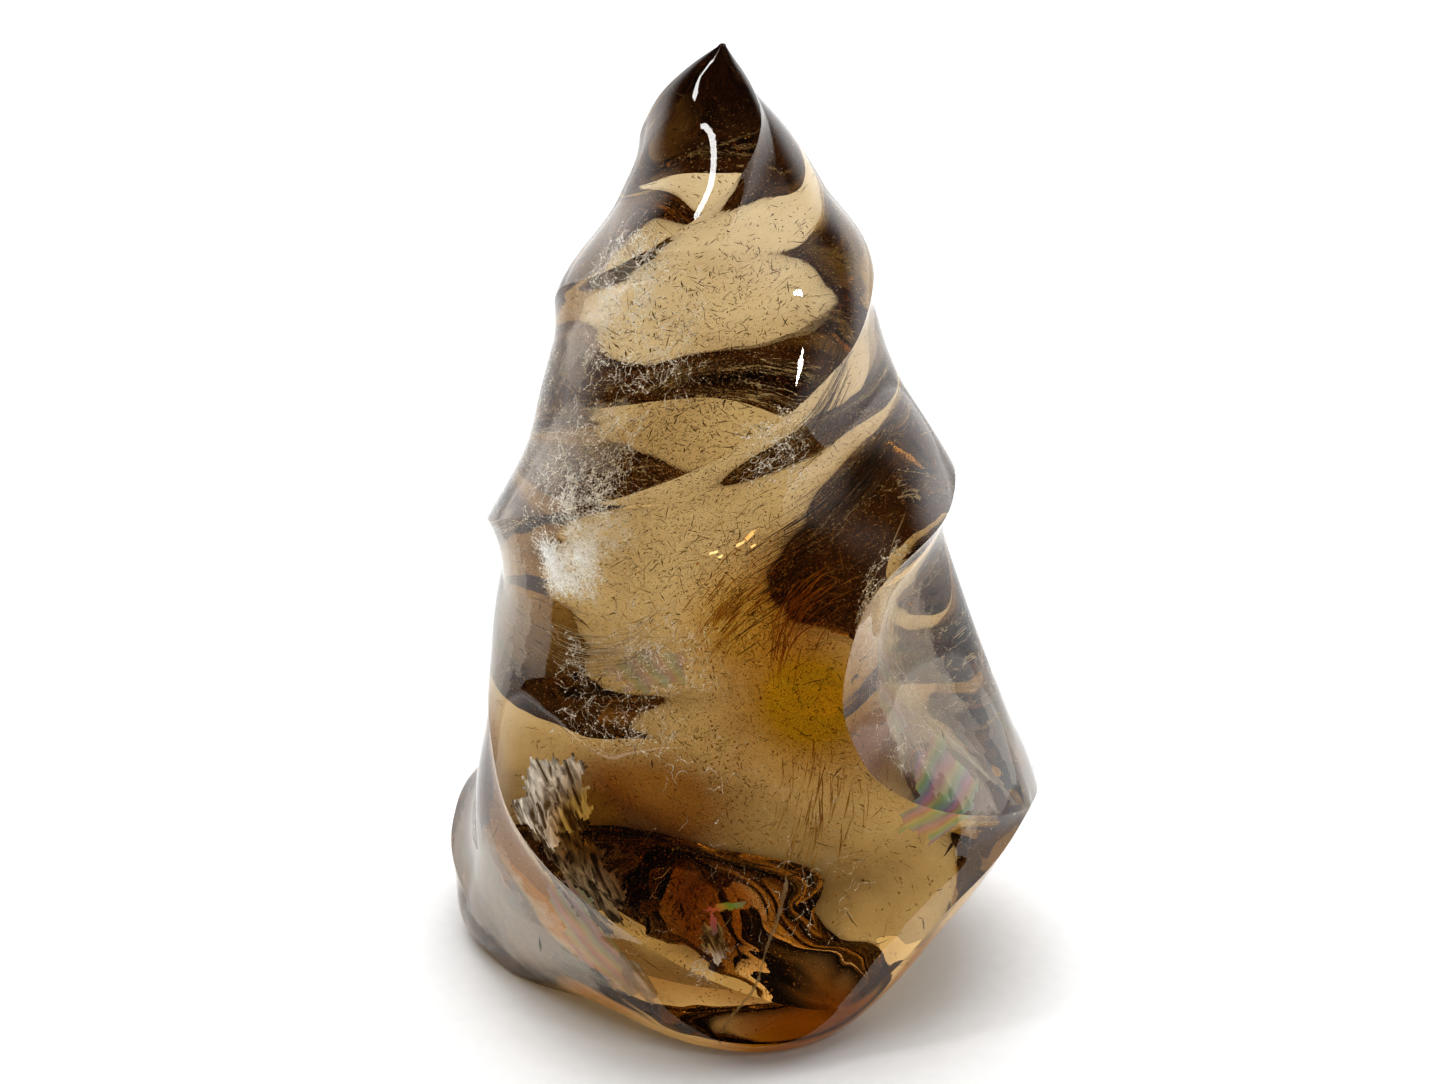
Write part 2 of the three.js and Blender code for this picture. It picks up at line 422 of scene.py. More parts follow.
# Milky films are painted sheen: pale, faintly glowing sheets close under the left heel, the left and right
# flanks, the right scoop and the upper left. They make the stone pale where the white room's reflection lies
# on it, and are drawn as milky healed cracks.
PAINTED_SHEEN_FILMS = [
    (-66, 16, -12, 32, 12, 1.2),
    (-72, 15, -6, 29, 10, 1.8),
    (-60, 17, -16, 24, 9, 2.4),
    (-75, 62, 84, 23, 7.5, 1.2),
    (-79, 61, 88, 21, 6, 1.8),
    (-83, 62, 86, 22, 5, 2.4),
    (80, 40, 62, 16, 6, 1.4),
    (84, 38, 66, 13, 5, 2),
    (55, 56, 86, 22, 10, 1.2),
    (60, 52, 80, 20, 9, 2.2),
    (-58, 114, 68, 13, 6, 1.2),
    (-62, 110, 76, 12, 5, 2),
    (-54, 94, 24, 14, 7, 1.4),
]
PAINTED_SHEEN_CRACKS = [(*film, (0, 0.3), 0.06) for film in PAINTED_SHEEN_FILMS]

# A crack's ragged outline: its mean reach, and waves of (count round it, height).
EDGE_REACH = 0.86
EDGE_WAVES = [(5, 0.09), (13, 0.07), (29, 0.05)]

# A crack's roughness: how far a facet's corner strays, and how uneven its streaks and corners are in depth.
CORNER_JITTER = 0.3
STREAK_ROUGHNESS = 0.8
CORNER_ROUGHNESS = 0.4

# One facet of each kind of crack: (length, width).
SPLINTER = (0.5, 0.2)
FLAKE = (0.8, 0.5)
FILM = (0.5, 0.4)
GLINT = (0.25, 0.12)
SPLINTER_WAY = (0.4, -0.4, -0.82)

# The pale crack that reaches the surface below the middle: (angle, height) downwards.
CRACK_LINE = [(8.2, 33), (6.8, 27), (5.6, 22), (5.2, 17.5), (3.0, 12), (2.2, 6)]
CRACK_DEPTH = 3.0
CRACK_JITTER = 0.12


def smooth_line(triples, steps):
    """Points along a smooth curve through the triples, with a fixed number of steps per span."""
    points = np.array(triples, float)
    ends = [2 * points[0] - points[1]], [2 * points[-1] - points[-2]]
    points = np.vstack([ends[0], points, ends[1]])
    share = np.linspace(0, 1, steps, endpoint=False)[:, None]
    spans = []
    for before, start, end, after in zip(points, points[1:], points[2:], points[3:]):
        bend = 2 * before - 5 * start + 4 * end - after
        twist = -before + 3 * start - 3 * end + after
        spans.append(start + ((end - before) * share + bend * share**2 + twist * share**3) / 2)
    return np.vstack(spans + [points[-2:-1]])


core_line = smooth_line(CORE_SECTIONS, CORE_STEPS)
crest_lines = [smooth_line(crest, CREST_STEPS) * (math.radians(1), 1, 1) for crest in CRESTS]


def centre_shift(height):
    """How far the core's centre lies to the right at a height."""
    return np.interp(height, core_line[:, 0], core_line[:, 2])


def hollow_depth(angle, height):
    """How deep the scooped hollows are at a place."""
    depth = np.zeros_like(height, float)
    for at_angle, at_height, half_angle, half_height, climb, deepest in HOLLOWS:
        turned = np.degrees(np.mod(angle - math.radians(at_angle) + TURN / 2, TURN) - TURN / 2)
        across = turned / half_angle
        up = (height - at_height - climb * turned) / half_height
        depth = depth + deepest * np.clip(1 - across**2 - up**2, 0, 1) ** 2
    return depth


def core_radius(angle, height):
    """The core's radius in one direction, flattened and hollowed, with the uneven base outline."""
    fade = np.clip(1 - height / BASE_FADE_HEIGHT, 0, 1) ** BASE_FADE_POWER
    oval = BASE_OVAL * np.cos(2 * (angle - TURN / 4))
    lobes = BASE_LOBES * np.cos(3 * (angle - math.radians(BASE_LOBE_ANGLE)))
    back = BASE_BACK * np.maximum(0, np.cos(angle - math.radians(BASE_BACK_ANGLE)))
    rise = np.clip(height / FLAT_FROM_HEIGHT, 0, 1)
    flat = FLATTENING * rise**2 * (3 - 2 * rise) * np.cos(angle) ** 2
    round_radius = np.interp(height, core_line[:, 0], core_line[:, 1]) * (1 + fade * (oval + lobes + back))
    return round_radius * (1 - flat) - hollow_depth(angle, height)


def nearest_on_crest(line, angle, height, radius):
    """For each place, its distance over the surface to a crest line, and the crest's radius there."""
    start, run = line[:-1], np.diff(line, axis=0)
    turned = np.mod(angle[:, None] - start[:, 0] + TURN / 2, TURN) - TURN / 2
    across = turned * radius[:, None]
    up = height[:, None] - start[:, 1]
    run_across = run[:, 0] * radius[:, None]
    along = (across * run_across + up * run[:, 1]) / (run_across**2 + run[:, 1] ** 2)
    share = np.clip(along, 0, 1)
    distance = np.hypot(across - share * run_across, up - share * run[:, 1])
    best = distance.argmin(axis=1)
    row = np.arange(len(best))
    return distance[row, best], start[best, 2] + share[row, best] * run[best, 2]


def crested_radius(angle, height):
    """The stone's radius: the core, and on it the blended rise of the crests nearby."""
    core = core_radius(angle, height)
    reach = np.minimum(FLANK_REACH, SLIM_FLANK + SLIM_FLANK_PER_RADIUS * core)
    blended = np.zeros_like(core)
    for line in crest_lines:
        distance, crest = nearest_on_crest(line, angle, height, np.maximum(core, LEAST_RADIUS))
        flank = np.clip(1 - distance / reach, 0, 1) ** FLANK_POWER
        blended += (np.maximum(crest - core, 0) * flank) ** CREST_BLEND
    return core + blended ** (1 / CREST_BLEND)


def flame_radius(angle, height):
    """The stone's radius at many places, worked out block by block."""
    blocks = math.ceil(len(angle) / POINTS_AT_ONCE)
    pairs = zip(np.array_split(angle, blocks), np.array_split(height, blocks))
    return np.concatenate([crested_radius(*pair) for pair in pairs])


def row_height(row):
    return HEIGHT * (1 - (1 - row / ROWS) ** ROW_CROWDING)


def row_at(height):
    return ROWS * (1 - (1 - height / HEIGHT) ** (1 / ROW_CROWDING))


def crossings(start, end):
    """Whole numbers passed on the way from one number to another."""
    if start == end:
        return range(0)
    return range(math.ceil(min(start, end)), math.floor(max(start, end)) + 1)


def snapped_grid():
    """Grid places (column, row) whose nearest corners are drawn onto the crest lines, and which ones were."""
    row, column = np.mgrid[0:ROWS, 0:COLUMNS].astype(float)
    miss = np.full(row.shape, np.inf)

    def snap(at_column, at_row, to_column, to_row):
        if not 1 <= at_row < ROWS:
            return
        place = at_row, at_column % COLUMNS
        step = abs(to_column - at_column) + abs(to_row - at_row)
        if step < miss[place]:
            miss[place] = step
            column[place] = to_column
            row[place] = to_row

    for line in crest_lines:
        columns = line[:, 0] / TURN * COLUMNS
        rows = row_at(line[:, 1])
        for left, low, right, high in zip(columns, rows, columns[1:], rows[1:]):
            for crossed in crossings(left, right):
                met = low + (high - low) * (crossed - left) / (right - left)
                snap(crossed, round(met), crossed, met)
            for crossed in crossings(low, high):
                met = left + (right - left) * (crossed - low) / (high - low)
                snap(round(met), crossed, met, crossed)
    return column, row, np.isfinite(miss)


def surface_points(angle, height, radius):
    x = centre_shift(height) + radius * np.sin(angle)
    y = -radius * np.cos(angle)
    return np.stack([x, y, height], axis=-1)


def split_squares(points, corner, crest):
    """The grid's squares as triangles, each split along a crest or else along its shorter diagonal."""
    a, d = corner[:-1], corner[1:]
    b, c = np.roll(a, -1, axis=1), np.roll(d, -1, axis=1)
    a, b, c, d = (each.ravel() for each in (a, b, c, d))
    span = [np.linalg.norm(points[p] - points[q], axis=1) for p, q in ((a, c), (b, d))]
    rising = (crest[a] & crest[c]) | ((span[0] <= span[1]) & ~(crest[b] & crest[d]))
    first = np.where(rising[:, None], np.stack([a, b, c], 1), np.stack([a, b, d], 1))
    second = np.where(rising[:, None], np.stack([a, c, d], 1), np.stack([b, c, d], 1))
    return np.vstack([first, second])


def flame_mesh():
    """The closed surface: points, faces of the side and tip, faces of the base, and the crest points."""
    column, row, on_crest = snapped_grid()
    angle = (column / COLUMNS * TURN).ravel()
    height = row_height(row).ravel()
    around = surface_points(angle, height, flame_radius(angle, height))
    tip, foot = len(around), len(around) + 1
    points = np.vstack([around, (0, 0, HEIGHT), (0, 0, 0)]) * MM
    crest = np.append(on_crest.ravel(), (False, False))

    corner = np.arange(ROWS * COLUMNS).reshape(ROWS, COLUMNS)
    low, high = corner[0], corner[-1]
    cap = np.stack([high, np.roll(high, -1), np.full(COLUMNS, tip)], 1)
    base = np.stack([np.roll(low, -1), low, np.full(COLUMNS, foot)], 1)
    return points, np.vstack([split_squares(points, corner, crest), cap]), base, crest


def add_mesh(name, points, faces, material):
    """A new mesh object from arrays of points in metres and of faces."""
    mesh = bpy.data.meshes.new(name)
    mesh.from_pydata(points.tolist(), [], faces.tolist())
    mesh.materials.append(material)
    piece = bpy.data.objects.new(name, mesh)
    bpy.context.scene.collection.objects.link(piece)
    return piece


def add_node(owner, kind, inputs=None, **settings):
    """A new node of a material or the world, with its input values and settings."""
    node = owner.node_tree.nodes.new(kind)
    for name, value in settings.items():
        setattr(node, name, value)
    for name, value in (inputs or {}).items():
        node.inputs[name].default_value = value
    return node


def ramp_node(material, stops):
    """A colour ramp with stops of (position, colour)."""
    node = material.node_tree.nodes.new("ShaderNodeValToRGB")
    ramp = node.color_ramp
    ramp.elements[0].position = stops[0][0]
    ramp.elements[1].position = stops[-1][0]
    for position, _ in stops[1:-1]:
        ramp.elements.new(position)
    for element, (_, colour) in zip(ramp.elements, stops):
        element.color = (*colour, 1)
    return node


def stone_tint(material, place):
    """The stone's colour from place to place: uneven brown, multiplied by the amber stains and by the patches
    of painted shade.
    """
    links = material.node_tree.links
    smoke = add_node(material, "ShaderNodeTexNoise", {"Scale": 48, "Detail": 5})
    links.new(place, smoke.inputs["Vector"])
    brown, tan, pale = (0.52, 0.4, 0.26), (0.76, 0.64, 0.48), (0.86, 0.76, 0.62)
    tint = ramp_node(material, [(0.32, brown), (0.5, tan), (0.62, pale)])
    links.new(smoke.outputs["Fac"], tint.inputs["Fac"])
    colour = tint.outputs["Color"]
    # Amber stains, and patches of painted shade that darken the stone.
    for centre, full, end, stain_or_shade_colour in STAINS_AND_PAINTED_SHADE:
        away = add_node(material, "ShaderNodeVectorMath", operation="DISTANCE")
        away.inputs[1].default_value = Vector(centre) * MM
        links.new(place, away.inputs[0])
        share = add_node(material, "ShaderNodeMapRange", {"From Min": full * MM, "From Max": end * MM})
        share.interpolation_type = "SMOOTHSTEP"
        links.new(away.outputs["Value"], share.inputs["Value"])
        stain_or_shade = ramp_node(material, [(0, stain_or_shade_colour), (1, (1, 1, 1))])
        links.new(share.outputs["Result"], stain_or_shade.inputs["Fac"])
        both = add_node(material, "ShaderNodeVectorMath", operation="MULTIPLY")
        links.new(colour, both.inputs[0])
        links.new(stain_or_shade.outputs["Color"], both.inputs[1])
        colour = both.outputs["Vector"]
    return colour


def polish(material, place):
    """A polish with spots of faint wear, and the shallow waves that polishing by hand leaves."""
    links = material.node_tree.links
    shader = material.node_tree.nodes["Principled BSDF"]
    wear = add_node(material, "ShaderNodeTexNoise", {"Scale": 900, "Detail": 4})
    links.new(place, wear.inputs["Vector"])
    dull = add_node(material, "ShaderNodeMapRange", {"From Min": 0.55, "From Max": 0.8, "To Max": 0.03})
    links.new(wear.outputs["Fac"], dull.inputs["Value"])
    links.new(dull.outputs["Result"], shader.inputs["Roughness"])
    waves = add_node(material, "ShaderNodeTexNoise", {"Scale": 110, "Detail": 1})
    links.new(place, waves.inputs["Vector"])
    bump = add_node(material, "ShaderNodeBump", {"Strength": 0.5, "Distance": 0.0003})
    links.new(waves.outputs["Fac"], bump.inputs["Height"])
    links.new(bump.outputs["Normal"], shader.inputs["Normal"])


def quartz_material():
    """Clear polished quartz with brown smoke, amber stains and patches of painted shade."""
    material = bpy.data.materials.new("smoky_quartz")
    material.use_nodes = True
    nodes, links = material.node_tree.nodes, material.node_tree.links
    shader = nodes["Principled BSDF"]
    shader.inputs["IOR"].default_value = QUARTZ_IOR
    shader.inputs["Transmission Weight"].default_value = 1.0
    place = add_node(material, "ShaderNodeTexCoord").outputs["Object"]
    links.new(stone_tint(material, place), shader.inputs["Base Color"])
    polish(material, place)
    absorption = add_node(material, "ShaderNodeVolumeAbsorption", {"Density": SMOKE_DENSITY})
    absorption.inputs["Color"].default_value = (*(1 - loss / SMOKE_DENSITY for loss in SMOKE_LOSS), 1)
    links.new(absorption.outputs["Volume"], nodes["Material Output"].inputs["Volume"])
    return material


def build_flame():
    points, side, base, crest = flame_mesh()
    piece = add_mesh("flame_polished", points, np.vstack([side, base]), quartz_material())
    mesh = piece.data
    mesh.polygons.foreach_set("use_smooth", np.arange(len(side) + len(base)) < len(side))
    ends = np.empty(2 * len(mesh.edges), int)
    mesh.edges.foreach_get("vertices", ends)
    mesh.edges.foreach_set("use_edge_sharp", crest[ends].reshape(-1, 2).all(axis=1))
    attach(piece, "root")
    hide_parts("flame")


def below(angle, height, depth):
    """Places at a depth below the polished surface. The angle is in degrees."""
    angle, height, depth = np.broadcast_arrays(np.radians(angle), height, depth)
    angle, height, depth = (each.astype(float).ravel() for each in (angle, height, depth))
    return surface_points(angle, height, flame_radius(angle, height) - depth)


def keep_inside(places):
    """The places that lie at least a skin's depth inside the core."""
    x = places[:, 0] - centre_shift(places[:, 2])
    depth = core_radius(np.arctan2(x, -places[:, 1]), places[:, 2]) - np.hypot(x, places[:, 1])
    return places[np.minimum(depth, places[:, 2]) > SKIN]


def patchy(places):
    """The places that fall into random patches."""
    waves = places @ random_ways(PATCH_WAVES).T * (TURN / 2 / PATCH_SIZE) + rng.uniform(0, TURN, PATCH_WAVES)
    return places[np.sin(waves).sum(axis=1) > rng.normal(0, PATCH_BLUR, len(places))]


def cloud(angle, height, depth, spread, count):
    """Random places in a patchy cloud about a spot below the surface."""
    return patchy(keep_inside(below(angle, height, depth) + rng.normal(size=(count, 3)) * spread))


def all_clouds(clouds):
    return np.vstack([cloud(*each) for each in clouds])


def random_ways(count):
    ways = rng.normal(size=(count, 3))
    return ways / np.linalg.norm(ways, axis=1, keepdims=True)


def uneven_sizes(count, log_middle, unevenness, least, most):
    """Random sizes about a middle one, within limits."""
    return np.clip(rng.lognormal(log_middle, unevenness, count), least, most)


def ways_across(ways):
    """Two directions square to each direction."""
    nearly_upright = 0.9
    steep = np.abs(ways[:, 2:]) >= nearly_upright
    helper = np.where(steep, (1.0, 0.0, 0.0), (0.0, 0.0, 1.0))
    first = np.cross(ways, helper)
    first /= np.linalg.norm(first, axis=1, keepdims=True)
    return first, np.cross(ways, first)


def spindles(centres, ways, lengths, widths):
    """Slim three-sided needles, pointed at both ends."""
    first, second = ways_across(ways)
    half = ways * (lengths / 2)[:, None]
    waist = [
        centres + (first * math.cos(turn) + second * math.sin(turn)) * (widths / 2)[:, None]
        for turn in (0, TURN / 3, 2 * TURN / 3)
    ]
    points = np.stack([centres + half, centres - half, *waist], axis=1)
    faces = np.array([(0, 2, 3), (0, 3, 4), (0, 4, 2), (1, 3, 2), (1, 4, 3), (1, 2, 4)])
    start = points.shape[1] * np.arange(len(centres))
    return points.reshape(-1, 3), (faces + start[:, None, None]).reshape(-1, 3)


def facing_up(count):
    """Random directions that mostly look up and a little to the front."""
    scatter, lean = 0.6, (0, -0.3, 0.8)
    ways = random_ways(count) * scatter + lean
    return ways / np.linalg.norm(ways, axis=1, keepdims=True)


def chips(centres, ways, sizes, corners):
    """Small flat uneven chips with some corners, each square to its direction."""
    first, second = ways_across(ways)
    shortest, longest = 0.5, 1.0
    places = []
    for turn in np.arange(corners) / corners * TURN:
        out = sizes * rng.uniform(shortest, longest, len(sizes)) / 2
        places.append(centres + (first * math.cos(turn) + second * math.sin(turn)) * out[:, None])
    faces = np.array([(0, k, k + 1) for k in range(1, corners - 1)])
    start = corners * np.arange(len(centres))
    return np.stack(places, axis=1).reshape(-1, 3), (faces + start[:, None, None]).reshape(-1, 3)


def ribbons(lines, widths):
    """Thin flat fibres along lines of places, widest in the middle."""
    count, steps = lines.shape[:2]
    side = np.cross(np.gradient(lines, axis=1), random_ways(count)[:, None])
    side /= np.linalg.norm(side, axis=2, keepdims=True)
    taper = RIBBON_END + np.sin(np.linspace(0, math.pi, steps))
    half = side * (widths[:, None] * taper / 2)[..., None]
    points = np.stack([lines - half, lines + half], axis=2)
    first = 2 * np.arange(steps - 1)
    strip = np.stack([first, first + 1, first + 3, first + 2], axis=1)
    start = 2 * steps * np.arange(count)
    return points.reshape(-1, 3), (strip + start[:, None, None]).reshape(-1, 4)


def ragged_faces(along, across, turn):
    """The triangles of a grid that lie within a ragged outline, as numbers of its points."""
    way = np.arctan2(across, along)
    (first, tall), *others = EDGE_WAVES
    edge = EDGE_REACH + tall * np.sin(first * way + turn)
    for waves, height in others:
        edge = edge + height * np.sin(waves * way)
    kept = (np.hypot(along, across) < edge).ravel()
    corner = np.arange(along.size).reshape(along.shape)
    corners = corner[:-1, :-1], corner[1:, :-1], corner[1:, 1:], corner[:-1, 1:]
    squares = np.stack(corners, axis=-1).reshape(-1, 4)
    squares = squares[kept[squares].all(axis=1)]
    return np.vstack([squares[:, :3], squares[:, (0, 2, 3)]])


def sheet(angle, height, turn, half_length, half_width, depth, slope, creases, facet):
    """A ragged crack below the surface, creased along its length.

    turn is how steeply its length rises, in degrees. slope is how much deeper its far end and its upper
    edge lie than its middle. facet is the length and width of one facet.
    """
    steps = math.ceil(2 * half_length / facet[0]), math.ceil(2 * half_width / facet[1])
    along, across = np.meshgrid(np.linspace(-1, 1, steps[0]), np.linspace(-1, 1, steps[1]), indexing="ij")
    along = along + rng.normal(0, CORNER_JITTER / steps[0], steps)
    level, steep = math.cos(math.radians(turn)), math.sin(math.radians(turn))
    sideways = along * half_length * level - across * half_width * steep
    upwards = along * half_length * steep + across * half_width * level
    folds = np.sin(5 * across + 2 * along + turn) + np.sin(9 * across - 3 * along)
    streaks = rng.uniform(-STREAK_ROUGHNESS, STREAK_ROUGHNESS, steps[1])
    corners = rng.uniform(-CORNER_ROUGHNESS, CORNER_ROUGHNESS, steps)
    rough = creases * (folds + streaks + corners)
    deep = np.maximum(depth + slope[0] * along + slope[1] * across + rough, SKIN)
    round_stone = np.degrees(sideways / core_radius(math.radians(angle), height))
    points = below(angle + round_stone, height + upwards, deep)
    used, triangles = np.unique(ragged_faces(along, across, turn), return_inverse=True)
    return points[used], triangles.reshape(-1, 3)


def joined(pieces):
    """Several (points, faces) as one."""
    points, faces, start = [], [], 0
    for some_points, some_faces in pieces:
        points.append(some_points)
        faces.append(some_faces + start)
        start += len(some_points)
    return np.vstack(points), np.vstack(faces)


def add_inside(name, points, faces, material):
    """A piece inside the stone, from points in millimetres."""
    piece = add_mesh(name, points * MM, faces, material)
    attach(piece, "root")
    return piece


def new_material(name, roughness, metallic, alpha):
    """A new material. If it glows, it isn't sampled as a lamp, which keeps the render quick."""
    material = bpy.data.materials.new(name)
    material.use_nodes = True
    material.cycles.emission_sampling = "NONE"
    shader = material.node_tree.nodes["Principled BSDF"]
    shader.inputs["Roughness"].default_value = roughness
    shader.inputs["Metallic"].default_value = metallic
    shader.inputs["Alpha"].default_value = alpha
    return material


def paint(material, colour, glow):
    """Gives a material its colour, and a glow in that colour.

    The glow is painted light: it stands for light that fine crystals scatter from all round, and for the
    highlights, glints and sheen on the cracks.
    """
    links = material.node_tree.links
    shader = material.node_tree.nodes["Principled BSDF"]
    links.new(colour, shader.inputs["Base Color"])
    if glow:
        links.new(colour, shader.inputs["Emission Color"])
        shader.inputs["Emission Strength"].default_value = glow


def mottled_material(name, dark, pale, roughness, metallic=0.0, alpha=1.0, glow=0.0):
    """A material that wanders between two colours from place to place."""
    material = new_material(name, roughness, metallic, alpha)
    links = material.node_tree.links
    place = add_node(material, "ShaderNodeTexCoord").outputs["Object"]
    noise = add_node(material, "ShaderNodeTexNoise", {"Scale": 350, "Detail": 2})
    links.new(place, noise.inputs["Vector"])
    ramp = ramp_node(material, [(0.35, dark), (0.65, pale)])
    links.new(noise.outputs["Fac"], ramp.inputs["Fac"])
    paint(material, ramp.outputs["Color"], glow)
    return material


def streaky_material(name, dark, pale, glow):
    """A shiny material with dark and pale streaks, drawn out along the splinters."""
    material = new_material(name, roughness=0.2, metallic=0.7, alpha=1)
    links = material.node_tree.links
    place = add_node(material, "ShaderNodeTexCoord").outputs["Object"]
    along = add_node(material, "ShaderNodeVectorMath", operation="PROJECT")
    along.inputs[1].default_value = SPLINTER_WAY
    links.new(place, along.inputs[0])
    drawn_out = 0.9
    squeezed = add_node(material, "ShaderNodeVectorMath", operation="MULTIPLY_ADD")
    squeezed.inputs[1].default_value = (-drawn_out, -drawn_out, -drawn_out)
    links.new(along.outputs["Vector"], squeezed.inputs[0])
    links.new(place, squeezed.inputs[2])
    noise = add_node(material, "ShaderNodeTexNoise", {"Scale": 1000, "Detail": 5, "Distortion": 0.9})
    links.new(squeezed.outputs["Vector"], noise.inputs["Vector"])
    ramp = ramp_node(material, [(0.4, dark), (0.64, pale)])
    links.new(noise.outputs["Fac"], ramp.inputs["Fac"])
    paint(material, ramp.outputs["Color"], glow)
    bump = add_node(material, "ShaderNodeBump", {"Strength": 0.8, "Distance": 0.0006})
    links.new(noise.outputs["Fac"], bump.inputs["Height"])
    links.new(bump.outputs["Normal"], material.node_tree.nodes["Principled BSDF"].inputs["Normal"])
    return material


def rainbow_material(name, strength, alpha, bands_along, glow=0.0):
    """A thin crack's rainbow: the hue runs through bands that wander over the crack.

    strength is how far the hues are from white. bands_along is the bands' direction, as bands per metre.
    """
    material = new_material(name, roughness=0.3, metallic=0.2, alpha=alpha)
    links = material.node_tree.links
    place = add_node(material, "ShaderNodeTexCoord").outputs["Object"]
    bands = add_node(material, "ShaderNodeVectorMath", operation="DOT_PRODUCT")
    bands.inputs[1].default_value = bands_along
    links.new(place, bands.inputs[0])
    wander = add_node(material, "ShaderNodeTexNoise", {"Scale": 120, "Detail": 2})
    links.new(place, wander.inputs["Vector"])
    bent = add_node(material, "ShaderNodeMath", operation="ADD")
    links.new(bands.outputs["Value"], bent.inputs[0])
    links.new(wander.outputs["Fac"], bent.inputs[1])
    hue = add_node(material, "ShaderNodeMath", operation="FRACT")
    links.new(bent.outputs["Value"], hue.inputs[0])
    brightness = 0.9
    colour = add_node(material, "ShaderNodeCombineColor", {1: strength, 2: brightness}, mode="HSV")
    links.new(hue.outputs["Value"], colour.inputs[0])
    paint(material, colour.outputs["Color"], glow)
    return material


def build_needles():
    centres = all_clouds(NEEDLE_CLOUDS)
    count = len(centres)
    lengths = uneven_sizes(count, *NEEDLE_LENGTHS)
    widths = rng.uniform(*NEEDLE_WIDTHS, count)
    dark = mottled_material("dark_needle", (0.03, 0.015, 0.006), (0.1, 0.05, 0.018), roughness=0.45)
    add_inside("dark_needles", *spindles(centres, random_ways(count), lengths, widths), dark)


def build_hairs():
    centres = all_clouds(HAIR_CLOUDS)
    count = len(centres)
    lengths = rng.uniform(*HAIR_LENGTHS, count)
    widths = rng.uniform(*HAIR_WIDTHS, count)
    gold = mottled_material("golden_needle", (0.6, 0.34, 0.08), (0.9, 0.68, 0.3), roughness=0.3, metallic=0.3)
    add_inside("golden_hairs", *spindles(centres, random_ways(count), lengths, widths), gold)


def build_slits():
    angles, heights, lengths = np.array(SLITS).T
    along_surface, upright = (1, 0.3, 1), (0, 0, 0.5)
    ways = random_ways(len(SLITS)) * along_surface + upright
    ways /= np.linalg.norm(ways, axis=1, keepdims=True)
    centres = below(angles, heights, SLIT_DEPTH)
    black = mottled_material("dark_slit", (0.015, 0.01, 0.006), (0.05, 0.03, 0.015), roughness=0.6)
    add_inside("dark_slits", *spindles(centres, ways, lengths, lengths * SLIT_WIDTH_PER_LENGTH), black)


def build_haze():
    centres = all_clouds(HAZE_CLOUDS)
    sizes = HAZE_BREADTH * uneven_sizes(len(centres), *HAZE_SIZES)
    tan = mottled_material("pale_haze", (0.5, 0.34, 0.19), (0.8, 0.68, 0.52), roughness=0.6)
    add_inside("pale_haze", *chips(centres, facing_up(len(centres)), sizes, corners=3), tan)


def build_amber():
    centres = all_clouds(AMBER_CLOUDS)
    sizes = rng.uniform(*AMBER_SIZES, len(centres))
    amber = mottled_material("amber_stain", (0.45, 0.16, 0.01), (0.85, 0.5, 0.05), roughness=0.4)
    add_inside("amber_specks", *chips(centres, facing_up(len(centres)), sizes, corners=5), amber)


def wandering_line(angles, heights, depths):
    """Places along one wandering line on a wavy sheet below the surface."""
    across, up = rng.uniform(size=2)
    angle = np.interp(across, (0, 1), angles)
    height = np.interp(up, (0, 1), heights)
    waves = math.sin(7 * across + 4 * up)
    depth = np.interp(across, (0, 1), depths) + waves
    turn = rng.uniform(0, TURN) + np.cumsum(rng.normal(0, VEIL_BEND, VEIL_STEPS))
    spread = rng.normal(0, VEIL_SCATTER, (3, VEIL_STEPS))
    sideways = np.cumsum(np.cos(turn)) * VEIL_STEP + spread[0]
    upwards = np.cumsum(np.sin(turn)) * VEIL_STEP + spread[1]
    round_stone = np.degrees(sideways / core_radius(math.radians(angle), height))
    deep = np.maximum(depth + 2 * spread[2], SKIN)
    return below(angle + round_stone, np.minimum(height + upwards, HEIGHT), deep)


def build_veils():
    lines = np.stack([wandering_line(*veil) for *veil, count in VEILS for _ in range(count)])
    widths = uneven_sizes(len(lines), *VEIL_WIDTHS)
    # The veils and their frost glow a little: painted light for the light that fine crystals scatter.
    white = mottled_material("white_veil_painted_glow", (0.8, 0.82, 0.86), (0.92, 0.96, 1), roughness=0.5, glow=0.25)
    add_inside("white_veils", *ribbons(lines, widths), white)
    frost = lines.reshape(-1, 3)
    frost = frost[rng.uniform(size=len(frost)) < FROST_SHARE]
    sizes = uneven_sizes(len(frost), *FROST_SIZES)
    add_inside("white_frost", *chips(frost, facing_up(len(frost)), sizes, corners=4), white)


def fibre_lines(path, spread, count):
    """Lines that each follow a part of a path, side by side, more of them about its middle."""
    smooth = smooth_line(path, CREST_STEPS)
    middle = below(*smooth.T)
    share = np.linspace(0, 1, len(middle))
    lengths = rng.uniform(*FIBRE_PATH_SHARES, count)
    starts = (1 - lengths) * rng.beta(2, 2, count)
    along = np.linspace(starts, starts + lengths, FIBRE_STEPS, axis=1)
    lines = np.stack([np.interp(along, share, middle[:, axis]) for axis in range(3)], axis=-1)
    upright = (0.6, 0.6, 1)
    return lines + rng.normal(0, spread, (count, 1, 3)) * upright


def build_fibres():
    kinds = {
        "dark_fibres": (DARK_FIBRES, (0.03, 0.015, 0.006), (0.13, 0.06, 0.02)),
        "gold_fibres": (GOLD_FIBRES, (0.5, 0.22, 0.02), (0.9, 0.6, 0.15)),
        "pale_fibres": (PALE_FIBRES, (0.7, 0.6, 0.45), (0.95, 0.9, 0.82)),
    }
    for name, (bundles, dark, pale) in kinds.items():
        lines = np.vstack([fibre_lines(*bundle) for bundle in bundles])
        material = mottled_material(name, dark, pale, roughness=0.4)
        add_inside(name, *ribbons(lines, rng.uniform(*FIBRE_WIDTHS, len(lines))), material)


